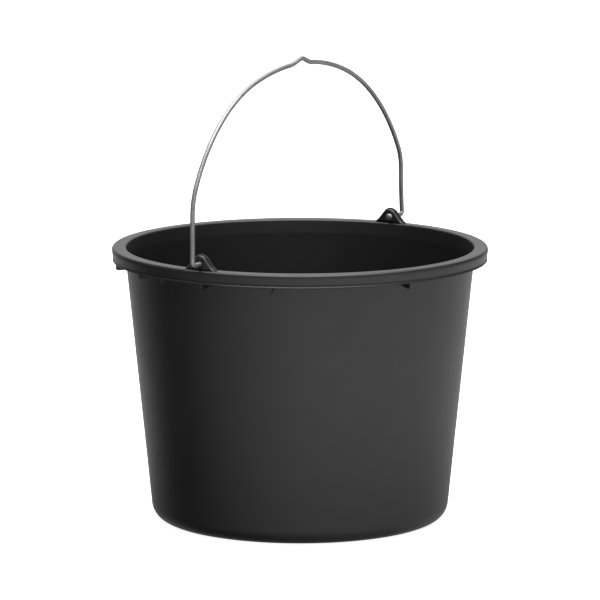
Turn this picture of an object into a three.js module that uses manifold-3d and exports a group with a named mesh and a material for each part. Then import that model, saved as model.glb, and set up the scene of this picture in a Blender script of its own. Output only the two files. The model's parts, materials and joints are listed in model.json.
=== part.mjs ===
// Florist bucket: one moulded pail with two ears, and a wire bail that turns in them.
// Millimetres, +Z up, origin at the middle of the base, ears and hinge axis along X.
import * as THREE from "three";
import { mergeVertices } from "three/addons/utils/BufferGeometryUtils.js";
import Module from "manifold-3d";

// Pail
const RIM_RADIUS = 160;
const RIM_HEIGHT = 234.6;
const MOUTH_RADIUS = 148.2;
const BASE_RADIUS = 125.5; // where the wall's outer line would meet the ground
const WALL = 2;
const FLOOR = 2.4;
const CORNER_RADIUS = 14.7;
const FOOT_RECESS = 2.6;
const FOOT_WIDTH = 8;

// Rim: a crowned top turned down into a skirt with a small bead along its lower edge
const SKIRT_DEPTH = 11.5;
const SKIRT_WALL = 1.8;
const RIM_TOP_WALL = 2.2;
const RIM_OUTER_RADIUS = 2.2;
const RIM_INNER_RADIUS = 1.7;
const SKIRT_TUCK = 0.8; // the skirt narrows by this much from top to bottom
const BEAD_HEIGHT = 1.2;
const BEAD_PROUD = 0.5;

// Ears
const EAR_RADIUS = 152.6; // from the pail's axis to the middle of an ear's thickness
const EAR_HALF_WIDTH = 15.2;
const EAR_TOP_RADIUS = 7.9;
const EAR_ROOT = 1; // how far an ear reaches down into the rim
const HINGE_ABOVE_RIM = 5.1;
const HOLE_RADIUS = 2.8;
const HOLE_SIDES = 24;
const WEB_THICKNESS = 1.4;
const PAD_THICKNESS = 7.6; // both pads and the web between them
const PAD_INSET = 0.75;
const EAR_SHIFT = 1.2; // both ears stand this much off their holes, toward +Y

// Ribs under the rim: degrees around from an ear, and drop below the skirt.
// The other half of the rim repeats them.
const RIBS = [
  [-45.4, 4.4],
  [-25.8, 3.4],
  [-14.5, 3.9],
  [1.1, 4.3],
  [23.1, 4.4],
  [66.7, 4.5],
];
const RIB_THICKNESS = 1.3;
const RIB_CORNER = 1.8;
const RIB_FLAT = 6.5; // from the skirt's face to where the rib's lower edge starts to rise
const RIB_WALL_DROP = 2.9;
const RIB_BITE = 0.5; // how far a rib reaches into the wall, the skirt and the rim's top

// Bail
const WIRE_RADIUS = 2;
const LEG_X = 167.8;
const LEG_BEND = 3.2;
// Each half of the arch: height where its leg starts to bend, then three bends of growing radius.
// The first turns by shoulderTurn degrees; the other two share what is left up to level.
const NEAR_ARCH = { start: 280, shoulder: 56, shoulderTurn: 25.5, haunch: 145, crown: 271 };
const FAR_ARCH = { start: 281, shoulder: 40, shoulderTurn: 28.5, haunch: 168, crown: 214 };
const KINK_FEET = [-12.5, 16];
const KINK_FEET_DROP = [0.25, 0.7];
const KINK_PEAK = 3.2;
const KINK_RISE = 4.5;
const KINK_ROUNDING = 4;
const HEAD_RADIUS = 3.25;
const HEAD_HEIGHT = 2.3;
const HEAD_SHOULDER = 0.7; // the straight part of the head, between its dome and the ear
const HEAD_TIP = 0.4; // radius of the flat at the top of the dome
const HEAD_STEP = 0.05;
const HEAD_GAP = 0.35;

// Facets
const TURN_STEPS = 96;
const WIRE_SIDES = 12;

const HINGE_Z = RIM_HEIGHT + HINGE_ABOVE_RIM;
const SKIRT_BOTTOM = RIM_HEIGHT - SKIRT_DEPTH;
const BEAD_RADIUS = RIM_RADIUS - SKIRT_TUCK;
const SKIRT_RADIUS = BEAD_RADIUS - BEAD_PROUD;
const SKIRT_INNER = SKIRT_RADIUS - SKIRT_WALL;
const TAPER = (MOUTH_RADIUS - BASE_RADIUS) / SKIRT_BOTTOM;
const CHANNEL_TOP = RIM_HEIGHT - RIM_TOP_WALL;
const EAR_FACE = EAR_RADIUS - PAD_THICKNESS / 2; // the pads' faces toward the pail's axis

const wasm = await Module();
wasm.setup();

const outerWall = (z) => BASE_RADIUS + TAPER * z;
const innerWall = (z) => outerWall(z) - WALL;

// Points along an arc in a plane, angles in degrees.
function arc(x, y, radius, from, to, steps) {
  return Array.from({ length: steps + 1 }, (_, i) => {
    const angle = THREE.MathUtils.degToRad(from + ((to - from) * i) / steps);
    return new THREE.Vector2(x + radius * Math.cos(angle), y + radius * Math.sin(angle));
  });
}

// A fillet of the given radius between the floor at height z and the tapered wall at a radius of at(z).
function wallCorner(at, z, radius, steps) {
  const slope = Math.hypot(1, TAPER);
  const centreZ = z + radius;
  const centreRadius = at(centreZ) - radius * slope;
  const wallAngle = THREE.MathUtils.radToDeg(Math.atan(-TAPER));
  return arc(centreRadius, centreZ, radius, -90, wallAngle, steps);
}

function toSolid(geometry) {
  geometry.deleteAttribute("normal");
  geometry.deleteAttribute("uv");
  const merged = mergeVertices(geometry, 1e-4);
  return new wasm.Manifold(
    new wasm.Mesh({
      numProp: 3,
      vertProperties: merged.attributes.position.array,
      triVerts: new Uint32Array(merged.index.array),
    }),
  );
}

function toGeometry(solid) {
  const mesh = solid.getMesh();
  const geometry = new THREE.BufferGeometry();
  geometry.setAttribute("position", new THREE.BufferAttribute(mesh.vertProperties, 3));
  geometry.setIndex(new THREE.BufferAttribute(mesh.triVerts, 1));
  geometry.computeVertexNormals();
  return geometry;
}

function turned(profile, steps) {
  return toSolid(new THREE.LatheGeometry(profile, steps).rotateX(Math.PI / 2));
}

// A flat outline in the Y-Z plane, given thickness along X around x.
function plate(outline, x, thickness) {
  const geometry = new THREE.ExtrudeGeometry(new THREE.Shape(outline), {
    depth: thickness,
    bevelEnabled: false,
    steps: 1,
  });
  geometry.translate(0, 0, -thickness / 2);
  geometry.applyMatrix4(
    new THREE.Matrix4().makeBasis(
      new THREE.Vector3(0, 1, 0),
      new THREE.Vector3(0, 0, 1),
      new THREE.Vector3(1, 0, 0),
    ),
  );
  geometry.translate(x, 0, 0);
  return toSolid(geometry);
}

function spun(solid, degrees) {
  return solid.rotate([0, 0, degrees]);
}

function pailShell() {
  const floorTop = FOOT_RECESS + FLOOR;
  const outerCorner = wallCorner(outerWall, 0, CORNER_RADIUS, 7);
  const innerCorner = wallCorner(innerWall, floorTop, CORNER_RADIUS - WALL, 7);
  const footOuter = outerCorner[0].x;
  const v = (x, y) => new THREE.Vector2(x, y);
  const profile = [
    v(0, FOOT_RECESS),
    v(footOuter - FOOT_WIDTH, FOOT_RECESS),
    v(footOuter - FOOT_WIDTH, 0),
    ...outerCorner,
    v(outerWall(CHANNEL_TOP), CHANNEL_TOP),
    v(SKIRT_INNER, CHANNEL_TOP),
    v(SKIRT_INNER, SKIRT_BOTTOM),
    v(BEAD_RADIUS, SKIRT_BOTTOM),
    v(BEAD_RADIUS, SKIRT_BOTTOM + BEAD_HEIGHT),
    v(SKIRT_RADIUS, SKIRT_BOTTOM + 2 * BEAD_HEIGHT),
    ...arc(RIM_RADIUS - RIM_OUTER_RADIUS, RIM_HEIGHT - RIM_OUTER_RADIUS, RIM_OUTER_RADIUS, 0, 90, 5),
    ...arc(MOUTH_RADIUS + RIM_INNER_RADIUS, RIM_HEIGHT - RIM_INNER_RADIUS, RIM_INNER_RADIUS, 90, 180, 4),
    v(innerWall(SKIRT_BOTTOM), SKIRT_BOTTOM),
    ...innerCorner.reverse(),
    v(0, floorTop),
  ];
  return turned(profile, TURN_STEPS);
}

// The ear's outline around y = middle: straight sides from the rim, tangent to the round top over the hole.
function earOutline(inset, middle) {
  const topRadius = EAR_TOP_RADIUS - inset;
  const foot = RIM_HEIGHT - EAR_ROOT;
  const halfWidth = EAR_HALF_WIDTH - inset;
  const rise = HINGE_Z - foot;
  const reach = Math.hypot(halfWidth, rise);
  const tangent = Math.atan2(-rise, halfWidth) + Math.acos(topRadius / reach);
  const from = THREE.MathUtils.radToDeg(tangent);
  return [
    new THREE.Vector2(middle - halfWidth, foot),
    new THREE.Vector2(middle + halfWidth, foot),
    ...arc(middle, HINGE_Z, topRadius, from, 180 - from, 10),
  ];
}

function ear(middle) {
  const web = plate(earOutline(0, middle), EAR_RADIUS, WEB_THICKNESS);
  const pads = plate(earOutline(PAD_INSET, middle), EAR_RADIUS, PAD_THICKNESS);
  const holeOutline = arc(0, HINGE_Z, HOLE_RADIUS, 0, 360 - 360 / HOLE_SIDES, HOLE_SIDES - 1);
  const hole = plate(holeOutline, EAR_RADIUS, 2 * PAD_THICKNESS);
  return web.add(pads).subtract(hole);
}

// A rib between the wall and the skirt, hanging below the skirt by drop and rising toward the wall.
function rib(drop) {
  const top = CHANNEL_TOP + RIB_BITE;
  const foot = SKIRT_BOTTOM - drop;
  const wallFoot = SKIRT_BOTTOM - RIB_WALL_DROP;
  const inner = outerWall(wallFoot) - RIB_BITE;
  const outline = [
    new THREE.Vector2(inner, top),
    new THREE.Vector2(inner, wallFoot),
    new THREE.Vector2(BEAD_RADIUS - RIB_FLAT, foot),
    ...arc(BEAD_RADIUS - RIB_CORNER, foot + RIB_CORNER, RIB_CORNER, -90, 0, 4),
    new THREE.Vector2(BEAD_RADIUS, SKIRT_BOTTOM + RIB_BITE),
    new THREE.Vector2(SKIRT_RADIUS - RIB_BITE, SKIRT_BOTTOM + RIB_BITE),
    new THREE.Vector2(SKIRT_RADIUS - RIB_BITE, top),
  ];
  const geometry = new THREE.ExtrudeGeometry(new THREE.Shape(outline), {
    depth: RIB_THICKNESS,
    bevelEnabled: false,
    steps: 1,
  });
  return toSolid(geometry.translate(0, 0, -RIB_THICKNESS / 2).rotateX(Math.PI / 2));
}

function pail() {
  const pieces = [pailShell()];
  for (const half of [0, 180]) {
    const toward = half === 0 ? EAR_SHIFT : -EAR_SHIFT;
    pieces.push(spun(ear(toward), half));
    for (const [angle, drop] of RIBS) {
      pieces.push(spun(rib(drop), half + angle));
    }
  }
  return toGeometry(wasm.Manifold.union(pieces));
}

// One half of the bail's centreline in the X-Z plane, from the bottom of the leg to the top of the arch.
// Each bend turns the wire from upright (0) toward level (a quarter turn).
function archHalf({ start, shoulder, shoulderTurn, haunch, crown }) {
  const foot = HINGE_Z + LEG_BEND;
  const points = [0, 0.35, 0.7, 1].map((share) => {
    return new THREE.Vector2(LEG_X, THREE.MathUtils.lerp(foot, start, share));
  });
  let x = LEG_X;
  let z = start;
  const bend = (radius, from, to, steps) => {
    const startX = x;
    const startZ = z;
    for (let i = 1; i <= steps; i++) {
      const turn = from + ((to - from) * i) / steps;
      x = startX - radius * (Math.cos(from) - Math.cos(turn));
      z = startZ + radius * (Math.sin(turn) - Math.sin(from));
      points.push(new THREE.Vector2(x, z));
    }
  };
  const firstTurn = THREE.MathUtils.degToRad(shoulderTurn);
  bend(shoulder, 0, firstTurn, 5);
  // the turn at which the two upper bends meet so that the arch tops out over the middle
  const meet = Math.acos((haunch * Math.cos(firstTurn) - x) / (haunch - crown));
  bend(haunch, firstTurn, meet, 14);
  bend(crown, meet, Math.PI / 2, 8);
  return points;
}

// The whole centreline, from the -X leg over the top to the +X leg, with its kink.
function archLine() {
  const near = archHalf(NEAR_ARCH).map((p) => new THREE.Vector2(-p.x, p.y));
  const far = archHalf(FAR_ARCH).reverse();
  const before = near.filter((p) => p.x < KINK_FEET[0] - KINK_ROUNDING - 1);
  const after = far.filter((p) => p.x > KINK_FEET[1] + KINK_ROUNDING + 1);
  return [...before, ...kink(before.at(-1), after[0], far[0].y), ...after];
}

// The raised kink at the top of the arch: straight runs with rounded corners at both feet and at the peak.
function kink(before, after, top) {
  const corners = [
    before,
    new THREE.Vector2(KINK_FEET[0], top - KINK_FEET_DROP[0]),
    new THREE.Vector2(KINK_PEAK, top + KINK_RISE),
    new THREE.Vector2(KINK_FEET[1], top - KINK_FEET_DROP[1]),
    after,
  ];
  return [1, 2, 3].flatMap((i) => roundedCorner(corners[i - 1], corners[i], corners[i + 1]));
}

function roundedCorner(before, corner, after) {
  const from = corner.clone().sub(before).setLength(-KINK_ROUNDING).add(corner);
  const to = corner.clone().sub(after).setLength(-KINK_ROUNDING).add(corner);
  return new THREE.QuadraticBezierCurve(from, corner, to).getPoints(4);
}

// The pivot at one end: a domed head inside the ear, a straight pin through it and a bend up into the leg.
// Each station is the wire's middle in the X-Z plane and its radius there.
function pivot(side) {
  const face = EAR_FACE - HEAD_GAP;
  const station = (x, z, radius) => ({ x: side * x, z, radius });
  const dome = [1, 0.85, 0.55, 0.2].map((share) => {
    const radius = HEAD_RADIUS * Math.sqrt(1 - share * share) + HEAD_TIP * share;
    return station(face - HEAD_SHOULDER - (HEAD_HEIGHT - HEAD_SHOULDER) * share, HINGE_Z, radius);
  });
  const bend = arc(LEG_X - LEG_BEND, HINGE_Z + LEG_BEND, LEG_BEND, -90, 0, 5);
  return [
    ...dome,
    station(face - HEAD_SHOULDER, HINGE_Z, HEAD_RADIUS),
    station(face, HINGE_Z, HEAD_RADIUS),
    station(face + HEAD_STEP, HINGE_Z, WIRE_RADIUS),
    ...bend.slice(0, -1).map((p) => station(p.x, p.y, WIRE_RADIUS)),
  ];
}

// Round wire through the stations, closed at both ends.
function sweptWire(stations) {
  const positions = [];
  const indices = [];
  const count = stations.length;
  stations.forEach((s, i) => {
    const before = stations[Math.max(i - 1, 0)];
    const after = stations[Math.min(i + 1, count - 1)];
    const along = new THREE.Vector2(after.x - before.x, after.z - before.z).normalize();
    for (let k = 0; k < WIRE_SIDES; k++) {
      const angle = (2 * Math.PI * k) / WIRE_SIDES;
      const out = s.radius * Math.cos(angle);
      positions.push(s.x - along.y * out, s.radius * Math.sin(angle), s.z + along.x * out);
    }
  });
  const ring = (i, k) => i * WIRE_SIDES + (k % WIRE_SIDES);
  for (let i = 0; i < count - 1; i++) {
    for (let k = 0; k < WIRE_SIDES; k++) {
      indices.push(ring(i, k), ring(i + 1, k), ring(i, k + 1));
      indices.push(ring(i + 1, k), ring(i + 1, k + 1), ring(i, k + 1));
    }
  }
  for (let k = 1; k < WIRE_SIDES - 1; k++) {
    indices.push(ring(0, 0), ring(0, k), ring(0, k + 1));
    indices.push(ring(count - 1, 0), ring(count - 1, k + 1), ring(count - 1, k));
  }
  const geometry = new THREE.BufferGeometry();
  geometry.setAttribute("position", new THREE.Float32BufferAttribute(positions, 3));
  geometry.setIndex(indices);
  geometry.computeVertexNormals();
  return geometry;
}

function bail() {
  const arch = archLine().map((p) => ({ x: p.x, z: p.y, radius: WIRE_RADIUS }));
  return sweptWire([...pivot(-1), ...arch, ...pivot(1).reverse()]);
}

function blackPolypropylene() {
  return new THREE.MeshStandardMaterial({ color: 0x2b2c2d, roughness: 0.5, metalness: 0 });
}

function galvanisedWire() {
  return new THREE.MeshStandardMaterial({ color: 0xa4a6a8, roughness: 0.38, metalness: 1 });
}

function named(name, geometry, material) {
  const mesh = new THREE.Mesh(geometry, material);
  mesh.name = name;
  return mesh;
}

const bucket = new THREE.Group();
bucket.name = "florist_bucket";
bucket.add(named("bucket_body", pail(), blackPolypropylene()));
bucket.add(named("bail_handle", bail(), galvanisedWire()));

export default bucket;
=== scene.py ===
import json
import math

import bpy
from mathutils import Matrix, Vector


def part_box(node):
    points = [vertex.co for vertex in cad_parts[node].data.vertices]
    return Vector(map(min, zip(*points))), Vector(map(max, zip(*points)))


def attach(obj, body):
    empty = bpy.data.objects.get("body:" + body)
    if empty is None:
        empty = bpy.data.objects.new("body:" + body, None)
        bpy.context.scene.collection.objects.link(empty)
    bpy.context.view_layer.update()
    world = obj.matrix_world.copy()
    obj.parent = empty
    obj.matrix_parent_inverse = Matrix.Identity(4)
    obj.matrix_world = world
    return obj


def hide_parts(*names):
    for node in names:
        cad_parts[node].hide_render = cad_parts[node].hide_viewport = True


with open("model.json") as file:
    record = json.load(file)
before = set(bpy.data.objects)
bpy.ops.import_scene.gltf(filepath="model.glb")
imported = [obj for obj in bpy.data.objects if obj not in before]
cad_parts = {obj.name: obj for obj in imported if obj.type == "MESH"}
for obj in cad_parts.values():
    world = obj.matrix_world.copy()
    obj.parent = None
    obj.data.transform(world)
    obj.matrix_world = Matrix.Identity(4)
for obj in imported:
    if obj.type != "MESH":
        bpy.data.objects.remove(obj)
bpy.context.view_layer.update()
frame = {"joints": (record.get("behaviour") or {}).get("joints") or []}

MM = 0.001

pail_low, pail_high = (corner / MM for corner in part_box("bucket_body"))
bail_low, bail_high = (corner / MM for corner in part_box("bail_handle"))

# Pail
RIM_RADIUS = pail_high.y
HINGE_ABOVE_RIM = 5.1
HINGE_Z = frame["joints"][0]["pos_m"][2] / MM
RIM_HEIGHT = HINGE_Z - HINGE_ABOVE_RIM
RIM_WIDTH = 11.8
MOUTH_RADIUS = RIM_RADIUS - RIM_WIDTH
BASE_RADIUS = 125.5  # where the wall's outer line would meet the ground
WALL = 2.0
FLOOR = 2.4
FLOOR_CROWN = 0.9  # the floor rises by this much toward its middle
CORNER_RADIUS = 14.7
FOOT_RECESS = 2.6
FOOT_WIDTH = 8.0
GATE_RADIUS = 2.4
GATE_SLOPE = 0.4
GATE_DROP = 0.8
FOOT_SLOPE = 0.6  # the standing ring is wider at its root by this much
PAIL_STEPS = 288

# Rim
SKIRT_DEPTH = 11.5
SKIRT_WALL = 1.8
RIM_TOP_WALL = 2.2
RIM_OUTER_RADIUS = 2.2
RIM_INNER_RADIUS = 1.7
SKIRT_TUCK = 0.5
BEAD_HEIGHT = 0.9
BEAD_PROUD = 0.8
GROOVE_HEIGHT = 2.0
BAND_PROUD = 0.5  # how far the band above the groove stands out from it
BAND_SLOPE_TOP = 3.5  # from the top of the rim down to where the band starts to slope inward

# Ears
EAR_RADIUS = 152.6  # from the pail's axis to the middle of an ear's thickness
EAR_HALF_WIDTH = 15.2
EAR_FLARE = 1.8  # each side spreads by this much more in its lowest FLARE_HEIGHT
FLARE_HEIGHT = 4.4
FLARE_RADIUS = 9
EAR_ROOT = 1.0  # how far an ear reaches down into the rim
EAR_TOP_RADIUS = pail_high.z - HINGE_Z
EAR_SHIFT = 1.2  # both ears stand this much off their holes, toward +Y
EAR_EDGE = 2.0
HOLE_RADIUS = 2.8
HOLE_CHAMFER = 0.4
PAD_THICKNESS = 7.6
WEB_THICKNESS = 1.4
PAD_INSET = 0.75  # the pads' outline lies this much inside the web's
SLOT_WIDTH = 1.6
SLOT_DEPTH = 1.0
SLOT_ABOVE_RIM = 0.3
SLOT_TOP = HINGE_Z - 0.8 * HOLE_RADIUS

# Ribs under the rim: degrees around from an ear, and drop below the skirt; each half of the rim has the same
RIBS = [(-45.4, 4.4), (-25.8, 3.4), (-14.5, 3.9), (1.1, 4.3), (23.1, 4.4), (66.7, 4.5)]
RIB_THICKNESS = 1.3
RIB_CORNER = 1.8
RIB_FLAT = 6.5
RIB_WALL_DROP = 2.9
RIB_BITE = 0.5  # how far a rib reaches into the wall, the skirt and the rim's top
RIB_EDGE = 0.22

# Bail
WIRE_RADIUS = 2.0
LEG_X = bail_high.x - WIRE_RADIUS
LEG_BEND = 3.2
NEAR_ARCH = {"start": 280, "shoulder": 56, "shoulder_turn": 25.5, "haunch": 145, "crown": 271}
FAR_ARCH = {"start": 281, "shoulder": 40, "shoulder_turn": 28.5, "haunch": 168, "crown": 214}
KINK_FEET = (-12.5, 16.0)
KINK_PEAK = 3.2
KINK_RISE = 4.5
KINK_ROUNDING = 4.0
KINK_FEET_DROP = (0.25, 0.7)
LEG_LEAN = 1.85  # the +X leg leans outward by this much from LEAN_TOP down to its bend
LEAN_TOP = 276.0
LEAN_POWER = 1.7
HEAD_RADIUS = 3.25
HEAD_HEIGHT = 2.3
HEAD_SHOULDER = 0.7
HEAD_GAP = 0.35
HEAD_EDGE = 0.3  # rounding between the head's side and its seat
BEND_STEPS = 14
WIRE_SIDES = 28
DIMPLE_SIDE = 0.9
DIMPLE_DROP = 0.2
DIMPLE_RADIUS = 1.1
DIMPLE_DEPTH = 0.35

# Camera and light, in metres and degrees; headings are to the right of the direction toward the camera
CAMERA_AZIMUTH = -58.2
CAMERA_DISTANCE = 4.42668
CAMERA_HEIGHT = 0.92901
AIM_HEIGHT = 0.1875
CAMERA_LENS = 316.08
FLOOR_GLOW = 0.9
FLOOR_HALF = 30
SHADE_Z = -0.0005

SKIRT_BOTTOM = RIM_HEIGHT - SKIRT_DEPTH
BEAD_RADIUS = RIM_RADIUS - SKIRT_TUCK
SKIRT_RADIUS = BEAD_RADIUS - BEAD_PROUD
SKIRT_INNER = SKIRT_RADIUS - SKIRT_WALL
TAPER = (MOUTH_RADIUS - BASE_RADIUS) / SKIRT_BOTTOM
CHANNEL_TOP = RIM_HEIGHT - RIM_TOP_WALL
EAR_FACE = EAR_RADIUS - PAD_THICKNESS / 2


def outer_wall(z):
    return BASE_RADIUS + TAPER * z


def inner_wall(z):
    return outer_wall(z) - WALL


# Outlines and solids

def arc(x, y, radius, start, end, steps):
    """Points along an arc, angles in degrees."""
    turns = [math.radians(start + (end - start) * i / steps) for i in range(steps + 1)]
    return [(x + radius * math.cos(t), y + radius * math.sin(t)) for t in turns]


def rounded(corners, closed=True, step=12):
    """The line through the corners, each (x, y, fillet radius); a fillet has a point every step degrees."""
    line = []
    last = len(corners) - 1
    for i, (x, y, radius) in enumerate(corners):
        if radius == 0 or (not closed and i in (0, last)):
            line.append((x, y))
            continue
        here = Vector((x, y))
        before = (Vector(corners[i - 1][:2]) - here).normalized()
        after = (Vector(corners[(i + 1) % len(corners)][:2]) - here).normalized()
        half = before.angle(after) / 2
        reach = radius / math.tan(half)
        middle = here + (before + after).normalized() * radius / math.sin(half)
        start = math.atan2(*reversed(here + before * reach - middle))
        end = math.atan2(*reversed(here + after * reach - middle))
        turn = math.remainder(end - start, math.tau)
        steps = max(2, math.ceil(abs(math.degrees(turn)) / step))
        line += arc(*middle, radius, math.degrees(start), math.degrees(start + turn), steps)
    return line


def inset(outline, depth):
    """The closed outline moved inward by depth, point by point."""
    moved = []
    count = len(outline)
    for i in range(count):
        here = Vector(outline[i])
        before = (here - Vector(outline[i - 1])).normalized()
        after = (Vector(outline[(i + 1) % count]) - here).normalized()
        inward = Vector((-before.y - after.y, before.x + after.x)).normalized()
        lean = inward.dot(Vector((-before.y, before.x)))
        moved.append(tuple(here + inward * depth / lean))
    return moved


def solid(name, points, faces):
    """A mesh object of these points, in millimetres, with its faces as given."""
    mesh = bpy.data.meshes.new(name)
    mesh.from_pydata([Vector(p) * MM for p in points], [], faces)
    mesh.validate()
    made = bpy.data.objects.new(name, mesh)
    bpy.context.scene.collection.objects.link(made)
    return made


def lofted(name, rings, place):
    """A closed solid through rings of (x, y) points, each at a height; place turns x, y, height into 3-D."""
    count = len(rings[0][1])
    points = [place(x, y, height) for height, ring in rings for x, y in ring]
    faces = []
    for i in range(len(rings) - 1):
        for k in range(count):
            a, b = i * count + k, i * count + (k + 1) % count
            faces.append((a, b, b + count, a + count))
    faces.append(tuple(reversed(range(count))))
    faces.append(tuple(range((len(rings) - 1) * count, len(rings) * count)))
    return solid(name, points, faces)


def turned(name, profile, steps, place=lambda r, z, c, s: (r * c, r * s, z)):
    """A profile of (radius, height) that starts and ends on the axis, turned into a closed solid."""
    ring_profile = profile[1:-1]
    points = [place(0, profile[0][1], 1, 0)]
    for r, z in ring_profile:
        for k in range(steps):
            t = math.tau * k / steps
            points.append(place(r, z, math.cos(t), math.sin(t)))
    points.append(place(0, profile[-1][1], 1, 0))
    last = len(points) - 1
    faces = []
    for k in range(steps):
        k2 = (k + 1) % steps
        faces.append((0, 1 + k2, 1 + k))
        for i in range(len(ring_profile) - 1):
            a, b = 1 + i * steps, 1 + (i + 1) * steps
            faces.append((a + k, a + k2, b + k2, b + k))
        top = 1 + (len(ring_profile) - 1) * steps
        faces.append((top + k, top + k2, last))
    return solid(name, points, faces)


def combined(first, others, operation):
    """first with the others joined to it or cut from it; the others are used up."""
    for other in others:
        step = first.modifiers.new("combine", "BOOLEAN")
        step.operation = operation
        step.solver = "MANIFOLD"
        step.object = other
    graph = bpy.context.evaluated_depsgraph_get()
    result = bpy.data.meshes.new_from_object(first.evaluated_get(graph))
    result.materials.clear()
    first.modifiers.clear()
    first.data = result
    for other in others:
        bpy.data.objects.remove(other)
    return first


def smooth(piece, sharp_from):
    """Smooth shading with creases kept; large faces decide the shading of the small ones beside them."""
    piece.data.shade_smooth()
    piece.data.set_sharp_from_angle(angle=math.radians(sharp_from))
    weigh = piece.modifiers.new("weigh normals", "WEIGHTED_NORMAL")
    weigh.keep_sharp = True
    weigh.weight = 60


# Pail

def pail_profile():
    floor_top = FOOT_RECESS + FLOOR
    corner_lean = math.degrees(math.atan(TAPER))
    foot_outer = BASE_RADIUS - CORNER_RADIUS / math.tan(math.radians(90 + corner_lean) / 2)
    foot_inner = foot_outer - FOOT_WIDTH
    groove_top = SKIRT_BOTTOM + BEAD_HEIGHT + GROOVE_HEIGHT
    crowned = FOOT_RECESS + FLOOR_CROWN
    return rounded(
        [
            (0, crowned - GATE_DROP, 0),
            (GATE_RADIUS, crowned - GATE_DROP, 0.3),
            (GATE_RADIUS + GATE_SLOPE, crowned, 0.3),
            (foot_inner - FOOT_SLOPE, FOOT_RECESS, 0.7),
            (foot_inner, 0, 0.8),
            (BASE_RADIUS, 0, CORNER_RADIUS),
            (outer_wall(CHANNEL_TOP), CHANNEL_TOP, 0.8),
            (SKIRT_INNER, CHANNEL_TOP, 0.8),
            (SKIRT_INNER, SKIRT_BOTTOM, 0.4),
            (BEAD_RADIUS, SKIRT_BOTTOM, 0.45),
            (BEAD_RADIUS, SKIRT_BOTTOM + BEAD_HEIGHT, 0.4),
            (SKIRT_RADIUS, SKIRT_BOTTOM + BEAD_HEIGHT + BEAD_PROUD, 0.2),
            (SKIRT_RADIUS, groove_top - 0.5, 0.5),
            (SKIRT_RADIUS + BAND_PROUD, groove_top, 0.6),
            (RIM_RADIUS, RIM_HEIGHT - BAND_SLOPE_TOP, 2),
            (RIM_RADIUS, RIM_HEIGHT, RIM_OUTER_RADIUS),
            (MOUTH_RADIUS, RIM_HEIGHT, RIM_INNER_RADIUS),
            (inner_wall(SKIRT_BOTTOM), SKIRT_BOTTOM, 12),
            (inner_wall(floor_top), floor_top, CORNER_RADIUS - WALL),
            (0, floor_top + FLOOR_CROWN, 0),
        ],
        closed=False,
        step=10,
    )


def ear_outline():
    """Straight sides from the rim, tangent to the round top over the hole."""
    foot = RIM_HEIGHT - EAR_ROOT
    rise = HINGE_Z - foot
    reach = math.hypot(EAR_HALF_WIDTH, rise)
    start = math.degrees(math.atan2(-rise, EAR_HALF_WIDTH) + math.acos(EAR_TOP_RADIUS / reach))
    top = arc(0, HINGE_Z, EAR_TOP_RADIUS, start, 180 - start, 32)
    end_y, end_z = top[0]
    share = FLARE_HEIGHT / (end_z - foot)
    knee = EAR_HALF_WIDTH + (end_y - EAR_HALF_WIDTH) * share
    right = rounded(
        [(EAR_HALF_WIDTH + EAR_FLARE, foot, 0), (knee, foot + FLARE_HEIGHT, FLARE_RADIUS), (end_y, end_z, 0)],
        closed=False,
        step=3,
    )[:-1]
    left = [(-y, z) for y, z in reversed(right)]
    return right + top + left


def ear(side):
    outline = ear_outline()
    half_pad = PAD_THICKNESS / 2
    half_web = WEB_THICKNESS / 2
    half = []
    for i in range(7):
        turn = math.radians(90 - 15 * i)
        half.append((half_pad - EAR_EDGE * (1 - math.sin(turn)), PAD_INSET + EAR_EDGE * (1 - math.cos(turn))))
    half += [
        (half_web + 0.25, PAD_INSET),
        (half_web + 0.08, PAD_INSET - 0.08),
        (half_web, PAD_INSET - 0.25),
        (half_web, 0.18),
        (half_web - 0.06, 0.05),
        (half_web - 0.2, 0.0),
    ]
    sections = [(-u, depth) for u, depth in half] + list(reversed(half))
    rings = [(u, inset(outline, depth)) for u, depth in sections]

    def place(y, z, u):
        return (side * (EAR_RADIUS + u), side * y + EAR_SHIFT, z)

    plate = lofted("ear", rings, place)

    def along(r, u, c, s):
        return (side * (EAR_RADIUS + u), side * r * c, HINGE_Z + r * s)

    wide = HOLE_RADIUS + 2 * HOLE_CHAMFER
    spool = [
        (0, -half_pad - HOLE_CHAMFER),
        (wide, -half_pad - HOLE_CHAMFER),
        (HOLE_RADIUS, -half_pad + HOLE_CHAMFER),
        (HOLE_RADIUS, half_pad - HOLE_CHAMFER),
        (wide, half_pad + HOLE_CHAMFER),
        (0, half_pad + HOLE_CHAMFER),
    ]
    cutters = [turned("hole", spool, 48, along)]
    half_slot = SLOT_WIDTH / 2
    slot_foot = RIM_HEIGHT + SLOT_ABOVE_RIM
    slot = [(-half_slot, slot_foot), (half_slot, slot_foot), (half_slot, SLOT_TOP), (-half_slot, SLOT_TOP)]

    def in_slot(y, z, u):
        return (side * (EAR_RADIUS + u), side * y, z)

    for face in (-1, 1):
        ends = sorted((face * (half_pad - SLOT_DEPTH), face * (half_pad + 1)))
        cutters.append(lofted("slot", [(u, slot) for u in ends], in_slot))
    return combined(plate, cutters, "DIFFERENCE")


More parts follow.
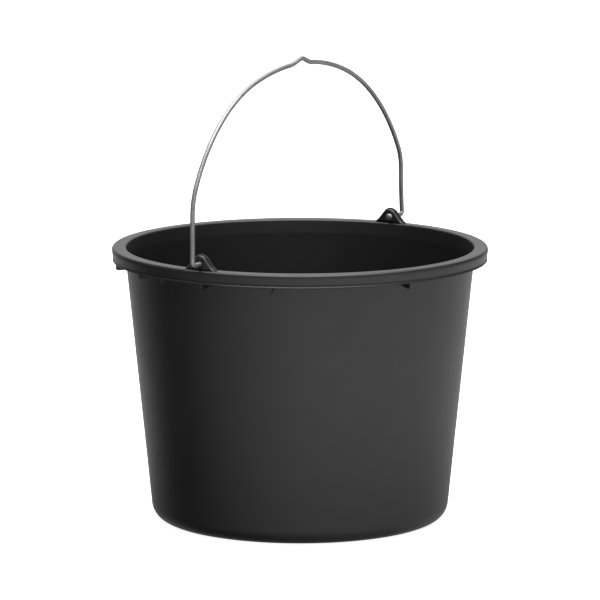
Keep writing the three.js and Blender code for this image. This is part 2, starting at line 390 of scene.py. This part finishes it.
def rib(angle, drop):
    """A thin plate between wall and skirt that hangs below the skirt and rises toward the wall."""
    top = CHANNEL_TOP + RIB_BITE
    foot = SKIRT_BOTTOM - drop
    wall_foot = SKIRT_BOTTOM - RIB_WALL_DROP
    inner = outer_wall(wall_foot) - RIB_BITE
    outline = rounded(
        [
            (inner, top, 0),
            (inner, wall_foot, 0),
            (BEAD_RADIUS - RIB_FLAT, foot, 1.5),
            (BEAD_RADIUS, foot, RIB_CORNER),
            (BEAD_RADIUS, SKIRT_BOTTOM + RIB_BITE, 0),
            (SKIRT_RADIUS - RIB_BITE, SKIRT_BOTTOM + RIB_BITE, 0),
            (SKIRT_RADIUS - RIB_BITE, top, 0),
        ]
    )
    half = RIB_THICKNESS / 2
    edge = [(half, RIB_EDGE), (half - 0.3 * RIB_EDGE, 0.3 * RIB_EDGE), (half - RIB_EDGE, 0)]
    sections = [(-t, depth) for t, depth in edge] + list(reversed(edge))
    turn = math.radians(angle)
    c, s = math.cos(turn), math.sin(turn)

    def place(r, z, t):
        return (r * c + t * s, r * s - t * c, z)

    return lofted("rib", [(t, inset(outline, depth)) for t, depth in sections], place)


def pail():
    shell = turned("pail", pail_profile(), PAIL_STEPS)
    additions = []
    for half, side in ((0, 1), (180, -1)):
        additions.append(ear(side))
        additions += [rib(half + angle, drop) for angle, drop in RIBS]
    return combined(shell, additions, "UNION")


# Bail

def arch_half(start, shoulder, shoulder_turn, haunch, crown):
    """One half of the bail's centreline in the X-Z plane, from the foot of the leg to the top of the arch."""
    foot = HINGE_Z + LEG_BEND
    steps = 24
    line = [(LEG_X, foot + (start - foot) * i / steps) for i in range(steps + 1)]
    x, z = LEG_X, start

    def bend(radius, first, last, count):
        nonlocal x, z
        x0, z0 = x, z
        for i in range(1, count + 1):
            turn = first + (last - first) * i / count
            x = x0 - radius * (math.cos(first) - math.cos(turn))
            z = z0 + radius * (math.sin(turn) - math.sin(first))
            line.append((x, z))

    first_turn = math.radians(shoulder_turn)
    bend(shoulder, 0, first_turn, 14)
    meet = math.acos((haunch * math.cos(first_turn) - x) / (haunch - crown))
    bend(haunch, first_turn, meet, 40)
    bend(crown, meet, math.pi / 2, 30)
    return line


def rounded_corner(before, corner, after):
    corner = Vector(corner)
    start = corner + (Vector(before) - corner).normalized() * KINK_ROUNDING
    end = corner + (Vector(after) - corner).normalized() * KINK_ROUNDING
    count = 10
    curve = []
    for i in range(count + 1):
        t = i / count
        curve.append(tuple(start * (1 - t) ** 2 + corner * 2 * t * (1 - t) + end * t * t))
    return curve


def leaning(point):
    """The +X leg's point, moved outward more and more toward its bend."""
    x, z = point
    share = (LEAN_TOP - z) / (LEAN_TOP - HINGE_Z - LEG_BEND)
    if share > 0 and x > LEG_X - 1:
        x += LEG_LEAN * share ** LEAN_POWER
    return (x, z)


def arch_line():
    near = [(-x, z) for x, z in arch_half(**NEAR_ARCH)]
    far = list(reversed(arch_half(**FAR_ARCH)))
    top = far[0][1]
    before = [p for p in near if p[0] < KINK_FEET[0] - KINK_ROUNDING - 1]
    after = [p for p in far if p[0] > KINK_FEET[1] + KINK_ROUNDING + 1]
    corners = [
        before[-1],
        (KINK_FEET[0], top - KINK_FEET_DROP[0]),
        (KINK_PEAK, top + KINK_RISE),
        (KINK_FEET[1], top - KINK_FEET_DROP[1]),
        after[0],
    ]
    kink = []
    for i in (1, 2, 3):
        kink += rounded_corner(corners[i - 1], corners[i], corners[i + 1])
    return before + kink + [leaning(p) for p in after]


def pivot(side):
    """Stations (x, z, radius, heading) from the tip of the domed head to the bottom of the leg."""
    face = EAR_FACE - HEAD_GAP
    stations = []
    dome_steps = 9
    for i in range(dome_steps):
        turn = math.pi / 2 * (1 - i / dome_steps)
        reach = HEAD_SHOULDER + (HEAD_HEIGHT - HEAD_SHOULDER) * math.sin(turn)
        stations.append((side * (face - reach), HINGE_Z, max(HEAD_RADIUS * math.cos(turn), 0.02), 90))
    seat = [(HEAD_SHOULDER, 0), (HEAD_EDGE, 0), (HEAD_EDGE / 3, 0.08), (0, HEAD_EDGE)]
    for back, narrowing in seat:
        stations.append((side * (face - back), HINGE_Z, HEAD_RADIUS - narrowing, 90))
    stations.append((side * face, HINGE_Z, WIRE_RADIUS + 0.15, 90))
    stations.append((side * (face + 0.15), HINGE_Z, WIRE_RADIUS, 90))
    leg_x = LEG_X + (LEG_LEAN if side > 0 else 0)
    bend = arc(leg_x - LEG_BEND, HINGE_Z + LEG_BEND, LEG_BEND, -90, 0, BEND_STEPS)
    for i, (x, z) in enumerate(bend[:-1]):
        stations.append((side * x, z, WIRE_RADIUS, 90 * (1 - i / BEND_STEPS)))
    return stations


def bail():
    """Round wire swept along its line, with the drawing direction kept in its UV map."""
    arch = arch_line()
    stations = []
    for x, z, radius, heading in pivot(-1):
        turn = math.radians(heading)
        stations.append((x, z, radius, (-math.sin(turn), math.cos(turn))))
    count = len(arch)
    for i, (x, z) in enumerate(arch):
        before, after = arch[max(i - 1, 0)], arch[min(i + 1, count - 1)]
        along = Vector((after[0] - before[0], after[1] - before[1])).normalized()
        if i in (0, count - 1):
            along = Vector((0, 1 if i == 0 else -1))
        stations.append((x, z, WIRE_RADIUS, tuple(along)))
    for x, z, radius, heading in reversed(pivot(1)):
        turn = math.radians(heading)
        stations.append((x, z, radius, (-math.sin(turn), -math.cos(turn))))
    points, lengths = [], []
    travelled = 0
    for i, (x, z, radius, (ax, az)) in enumerate(stations):
        if i:
            px, pz, pr, _ = stations[i - 1]
            travelled += math.hypot(math.hypot(x - px, z - pz), radius - pr)
        lengths.append(travelled)
        for k in range(WIRE_SIDES):
            t = math.tau * k / WIRE_SIDES
            out = radius * math.cos(t)
            points.append((x - az * out, radius * math.sin(t), z + ax * out))
    rows = len(stations)
    faces, corners = [], []
    for i in range(rows - 1):
        for k in range(WIRE_SIDES):
            a, b = i * WIRE_SIDES + k, i * WIRE_SIDES + (k + 1) % WIRE_SIDES
            faces.append((a, a + WIRE_SIDES, b + WIRE_SIDES, b))
            corners += [(i, k), (i + 1, k), (i + 1, k + 1), (i, k + 1)]
    faces.append(tuple(range(WIRE_SIDES)))
    corners += [(0, k) for k in range(WIRE_SIDES)]
    faces.append(tuple(reversed(range((rows - 1) * WIRE_SIDES, rows * WIRE_SIDES))))
    corners += [(rows - 1, k) for k in reversed(range(WIRE_SIDES))]
    dimpled = []
    for x, y, z in points:
        depth = 0
        if abs(x) < EAR_FACE - HEAD_GAP - HEAD_SHOULDER:
            off = math.hypot(y - DIMPLE_SIDE, z - HINGE_Z + DIMPLE_DROP)
            if z < HINGE_Z + HEAD_RADIUS and off < DIMPLE_RADIUS:
                depth = DIMPLE_DEPTH * (1 + math.cos(math.pi * off / DIMPLE_RADIUS)) / 2
        dimpled.append((x + math.copysign(depth, x), y, z))
    made = solid("bail", dimpled, faces)
    uv = made.data.uv_layers.new(name="wire")
    around = math.tau * WIRE_RADIUS
    for loop, (i, k) in zip(uv.data, corners):
        loop.uv = (lengths[i], around * k / WIRE_SIDES)
    return made


# Materials

class Nodes:
    """A short way to write a node tree: each call adds a node, sets its inputs and gives back its output."""

    def __init__(self, tree):
        self.tree = tree
        tree.nodes.clear()

    def add(self, kind, output=0, props=None, **inputs):
        node = self.tree.nodes.new(kind)
        for key, value in (props or {}).items():
            setattr(node, key, value)
        for key, value in inputs.items():
            socket = self.socket(node, key)
            if isinstance(value, bpy.types.NodeSocket):
                self.tree.links.new(value, socket)
            else:
                socket.default_value = value
        return node if output is None else node.outputs[output]

    def socket(self, node, key):
        if key.startswith("in"):
            return node.inputs[int(key[2:])]
        return node.inputs[key.replace("_", " ")]

    def math(self, operation, a, b=0.0):
        return self.add("ShaderNodeMath", props={"operation": operation}, in0=a, in1=b)

    def remap(self, value, low, high, to_low=0.0, to_high=1.0):
        return self.add(
            "ShaderNodeMapRange", Value=value, From_Min=low, From_Max=high, To_Min=to_low, To_Max=to_high
        )

    def noise(self, vector, scale, detail=3.0, roughness=0.5):
        return self.add("ShaderNodeTexNoise", Vector=vector, Scale=scale, Detail=detail, Roughness=roughness)

    def mix(self, factor, a, b):
        return self.add("ShaderNodeMix", 2, {"data_type": "RGBA"}, in0=factor, in6=a, in7=b)

    def bump(self, height, strength, distance, normal=None):
        more = {} if normal is None else {"Normal": normal}
        return self.add("ShaderNodeBump", Height=height, Strength=strength, Distance=distance, **more)


def black_polypropylene():
    """Satin moulded plastic: spark-eroded grain, faint flow variation, upright scuffs and rubbed edges."""
    material = bpy.data.materials.new("black_polypropylene")
    material.use_nodes = True
    n = Nodes(material.node_tree)
    place = n.add("ShaderNodeTexCoord", 3)
    xyz = n.add("ShaderNodeSeparateXYZ", Vector=place).node
    x, y, z = xyz.outputs
    turn = n.math("ARCTAN2", y, x)
    round_about = n.math("MULTIPLY", turn, 0.14)
    upright = n.add("ShaderNodeCombineXYZ", X=round_about, Y=0.0, Z=n.math("MULTIPLY", z, 0.06))
    grain = n.noise(place, 2600.0, 2.0)
    flow = n.noise(place, 9.0, 3.0)
    cloud = n.noise(place, 55.0, 4.0, 0.6)
    scuff = n.noise(upright, 900.0, 4.0, 0.65)
    scuffs = n.remap(scuff, 0.62, 0.8)
    wear = n.add("ShaderNodeAttribute", 2, {"attribute_name": "wear"})
    patchy = n.remap(cloud, 0.35, 0.7)
    rubbed = n.math("MULTIPLY", wear, patchy)
    colour = n.mix(n.remap(flow, 0.3, 0.7), (0.0055, 0.0055, 0.0057, 1), (0.0075, 0.0075, 0.0077, 1))
    colour = n.mix(n.math("MULTIPLY", scuffs, 0.35), colour, (0.022, 0.022, 0.022, 1))
    colour = n.mix(n.math("MULTIPLY", rubbed, 0.5), colour, (0.04, 0.04, 0.041, 1))
    rough = n.remap(flow, 0.25, 0.75, 0.40, 0.46)
    rough = n.math("ADD", rough, n.remap(cloud, 0.3, 0.7, -0.015, 0.015))
    rough = n.math("ADD", rough, n.math("MULTIPLY", scuffs, 0.08))
    rough = n.math("ADD", rough, n.math("MULTIPLY", rubbed, 0.12))
    normal = n.bump(grain, 0.25, 0.00006)
    normal = n.bump(cloud, 0.12, 0.00025, normal)
    normal = n.bump(scuff, 0.05, 0.00008, normal)
    shader = n.add(
        "ShaderNodeBsdfPrincipled", Base_Color=colour, Roughness=rough, Normal=normal, IOR=1.49,
    )
    n.add("ShaderNodeOutputMaterial", output=None, Surface=shader)
    return material


def galvanised_wire():
    """Drawn wire with a dull zinc coat: fine lines along it, mottled crystals and darker dull patches."""
    material = bpy.data.materials.new("galvanised_wire")
    material.use_nodes = True
    n = Nodes(material.node_tree)
    place = n.add("ShaderNodeTexCoord", 3)
    wire = n.add("ShaderNodeTexCoord", 2)
    u, v, _ = n.add("ShaderNodeSeparateXYZ", Vector=wire).node.outputs
    drawn_at = n.add("ShaderNodeCombineXYZ", X=n.math("MULTIPLY", u, 0.02), Y=v, Z=0.0)
    drawn = n.noise(drawn_at, 5200.0, 3.0, 0.6)
    mottle = n.noise(place, 260.0, 3.0, 0.6)
    spangle = n.add("ShaderNodeTexVoronoi", 1, Vector=place, Scale=620.0)
    spangle = n.add("ShaderNodeSeparateColor", Color=spangle)
    dull = n.remap(n.noise(place, 38.0, 4.0, 0.6), 0.48, 0.7)
    colour = n.mix(n.remap(mottle, 0.3, 0.7), (0.24, 0.242, 0.245, 1), (0.32, 0.323, 0.326, 1))
    colour = n.mix(n.math("MULTIPLY", spangle, 0.18), colour, (0.40, 0.403, 0.406, 1))
    colour = n.mix(n.math("MULTIPLY", dull, 0.4), colour, (0.18, 0.181, 0.183, 1))
    rough = n.remap(mottle, 0.3, 0.7, 0.50, 0.62)
    rough = n.math("ADD", rough, n.math("MULTIPLY", dull, 0.12))
    normal = n.bump(drawn, 0.35, 0.00004)
    normal = n.bump(mottle, 0.2, 0.00008, normal)
    shader = n.add(
        "ShaderNodeBsdfPrincipled", Base_Color=colour, Roughness=rough, Normal=normal, Metallic=1.0,
    )
    n.add("ShaderNodeOutputMaterial", output=None, Surface=shader)
    return material


def mark_wear(piece):
    """How much each point stands out as an outside edge, from 0 to 1, for the rubbed look."""
    mesh = piece.data
    sharpest = [0.0] * len(mesh.vertices)
    for edge in mesh.edges:
        a, b = edge.vertices
        va, vb = mesh.vertices[a], mesh.vertices[b]
        along = vb.co - va.co
        length = along.length
        if length < 1e-7:
            continue
        sharpest[a] = max(sharpest[a], -va.normal.dot(along) / length)
        sharpest[b] = max(sharpest[b], vb.normal.dot(along) / length)
    wear = mesh.attributes.new("wear", "FLOAT", "POINT")
    for value, sharp in zip(wear.data, sharpest):
        value.value = min(max((sharp - 0.05) / 0.35, 0.0), 1.0)


body = pail()
body.name = "pail"
mark_wear(body)
smooth(body, 32)
body.data.materials.append(black_polypropylene())
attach(body, "bucket")
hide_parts("bucket_body")

handle = bail()
smooth(handle, 40)
handle.data.materials.append(galvanised_wire())
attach(handle, "bail")
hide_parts("bail_handle")


# Studio

def floor():
    half = FLOOR_HALF
    corners = [(-half, -half, 0), (half, -half, 0), (half, half, 0), (-half, half, 0)]
    mesh = bpy.data.meshes.new("floor")
    mesh.from_pydata(corners, [], [(0, 1, 2, 3)])
    made = bpy.data.objects.new("floor", mesh)
    bpy.context.scene.collection.objects.link(made)
    material = bpy.data.materials.new("studio_floor")
    material.use_nodes = True
    n = Nodes(material.node_tree)
    place = n.add("ShaderNodeTexCoord", 3)
    tone = n.mix(n.noise(place, 3.0), (0.80, 0.80, 0.80, 1), (0.82, 0.82, 0.82, 1))
    shader = n.add("ShaderNodeBsdfPrincipled", Base_Color=tone, Roughness=0.9)
    shader.node.inputs["Emission Color"].default_value = (1, 1, 1, 1)
    shader.node.inputs["Emission Strength"].default_value = FLOOR_GLOW
    n.add("ShaderNodeOutputMaterial", output=None, Surface=shader)
    mesh.materials.append(material)
    made.visible_glossy = False
    made.visible_diffuse = False
    made.visible_shadow = False


def contact_shade():
    """Painted shade: a dark disc just under the floor, hidden from the camera, standing in for the bucket's
    own soft shade on the floor where its reflections meet it: dark at the foot, then clearer.
    """
    stops = [(0.0, 0.45), (0.13, 0.45), (0.22, 0.36), (0.30, 0.20), (0.45, 0.0)]
    reach, steps = stops[-1][0], 64
    turns = [math.tau * k / steps for k in range(steps)]
    ring = [(reach * math.cos(t), reach * math.sin(t), SHADE_Z) for t in turns]
    mesh = bpy.data.meshes.new("contact_shade")
    mesh.from_pydata(ring, [], [tuple(range(steps))])
    made = bpy.data.objects.new("contact_shade", mesh)
    bpy.context.scene.collection.objects.link(made)
    material = bpy.data.materials.new("contact_shade")
    material.use_nodes = True
    n = Nodes(material.node_tree)
    place = n.add("ShaderNodeTexCoord", 3)
    out = n.add("ShaderNodeVectorMath", 1, {"operation": "LENGTH"}, in0=place)
    cover = ramp(n, out, 0, reach, stops)
    clear = n.add("ShaderNodeBsdfTransparent")
    dark = n.add("ShaderNodeBsdfDiffuse", Color=(0, 0, 0, 1))
    mixed = n.add("ShaderNodeMixShader", in0=cover, in1=clear, in2=dark)
    n.add("ShaderNodeOutputMaterial", output=None, Surface=mixed)
    mesh.materials.append(material)
    made.visible_camera = False
    made.visible_diffuse = False


def heading(degrees):
    """The level direction that many degrees to the right of the one toward the camera."""
    turn = math.radians(CAMERA_AZIMUTH + degrees)
    return Vector((math.sin(turn), -math.cos(turn), 0))


# Brightness by degrees to the right of the direction toward the camera, for light from below the horizon
ROUND_ABOUT = [
    (-180, 1.0), (-150, 0.9), (-125, 0.3), (-105, 0.08), (-85, 0.2), (-60, 0.7),
    (-30, 1.25), (10, 1.9), (60, 1.9), (105, 1.3), (150, 1.1), (180, 1.0),
]
# Share of it by height of the direction, from straight down (-1) to straight up (1)
UP_AND_DOWN = [(-1, 0.25), (-0.7, 0.5), (-0.4, 1.0), (-0.2, 0.75), (0, 0.25), (0.2, 0.05), (1, 0.05)]
# Light from above the horizon: an even share, and soft lobes of (degrees to the right, height in degrees,
# cosine where it starts, cosine where it is full, strength)
SKY = 0.2
SKY_LOBES = [(180, 11, 0.80, 0.99, 1.0), (5, 57, 0.84, 0.98, 2.2), (0, 80, 0.60, 1.0, 0.5)]


def ramp(n, value, low, high, stops):
    """A smooth curve of value through the stops, each (value, result)."""
    share = n.remap(value, low, high)
    peak = max(result for _, result in stops)
    node = n.add("ShaderNodeValToRGB", None, Fac=share)
    node.color_ramp.interpolation = "CARDINAL"
    elements = node.color_ramp.elements
    while len(elements) < len(stops):
        elements.new(0.5)
    for element, (at, result) in zip(elements, stops):
        element.position = (at - low) / (high - low)
        tone = result / peak
        element.color = (tone, tone, tone, 1)
    return n.math("MULTIPLY", node.outputs[0], peak)


def surroundings():
    """Soft light from all round: bright to the right of the camera, dark to its left, pale behind."""
    world = bpy.data.worlds.new("studio")
    bpy.context.scene.world = world
    world.use_nodes = True
    n = Nodes(world.node_tree)
    look = n.add("ShaderNodeTexCoord", 0)
    toward = n.add("ShaderNodeVectorMath", 1, {"operation": "DOT_PRODUCT"}, in0=look, in1=tuple(heading(0)))
    right = n.add("ShaderNodeVectorMath", 1, {"operation": "DOT_PRODUCT"}, in0=look, in1=tuple(heading(90)))
    turn = n.math("ARCTAN2", right, toward)
    z = n.add("ShaderNodeSeparateXYZ", 2, Vector=look)
    round_about = ramp(n, n.math("DEGREES", turn), -180, 180, ROUND_ABOUT)
    low = n.math("MULTIPLY", round_about, ramp(n, z, -1, 1, UP_AND_DOWN))
    above = n.add(
        "ShaderNodeMapRange", 0, {"interpolation_type": "SMOOTHSTEP"},
        Value=z, From_Min=0.1, From_Max=0.5, To_Min=0.0, To_Max=1.0,
    )
    sky = n.math("MULTIPLY", above, SKY)
    for turn, height, start, full, strength in SKY_LOBES:
        rise = math.radians(height)
        centre = heading(turn) * math.cos(rise) + Vector((0, 0, math.sin(rise)))
        facing = n.add("ShaderNodeVectorMath", 1, {"operation": "DOT_PRODUCT"}, in0=look, in1=tuple(centre))
        lobe = n.add(
            "ShaderNodeMapRange", 0, {"interpolation_type": "SMOOTHSTEP"},
            Value=facing, From_Min=start, From_Max=full, To_Min=0.0, To_Max=strength,
        )
        sky = n.math("ADD", sky, lobe)
    light = n.math("ADD", low, sky)
    glow = n.add("ShaderNodeBackground", Color=(1, 1, 1, 1), Strength=light)
    n.add("ShaderNodeOutputWorld", output=None, Surface=glow)


def softbox(name, azimuth, elevation, distance, width, height, power, aim):
    data = bpy.data.lights.new(name, "AREA")
    data.shape = "RECTANGLE"
    data.size, data.size_y = width, height
    data.energy = power
    lamp = bpy.data.objects.new(name, data)
    bpy.context.scene.collection.objects.link(lamp)
    rise = math.radians(elevation)
    back = heading(azimuth) * math.cos(rise) + Vector((0, 0, math.sin(rise)))
    lamp.location = Vector(aim) + back * distance
    lamp.rotation_mode = "QUATERNION"
    lamp.rotation_quaternion = back.to_track_quat("Z", "Y")


def camera():
    data = bpy.data.cameras.new("camera")
    data.sensor_width = 36
    data.lens = CAMERA_LENS
    data.clip_end = 60
    eye = bpy.data.objects.new("camera", data)
    bpy.context.scene.collection.objects.link(eye)
    eye.location = heading(0) * CAMERA_DISTANCE + Vector((0, 0, CAMERA_HEIGHT))
    eye.rotation_mode = "QUATERNION"
    eye.rotation_quaternion = (Vector((0, 0, AIM_HEIGHT)) - eye.location).to_track_quat("-Z", "Y")
    bpy.context.scene.camera = eye


floor()
contact_shade()
surroundings()
softbox("top", azimuth=0, elevation=88, distance=1.6, width=1.6, height=1.6, power=50, aim=(0, 0, 0.2))
camera()
bpy.context.scene.view_settings.view_transform = "Standard"
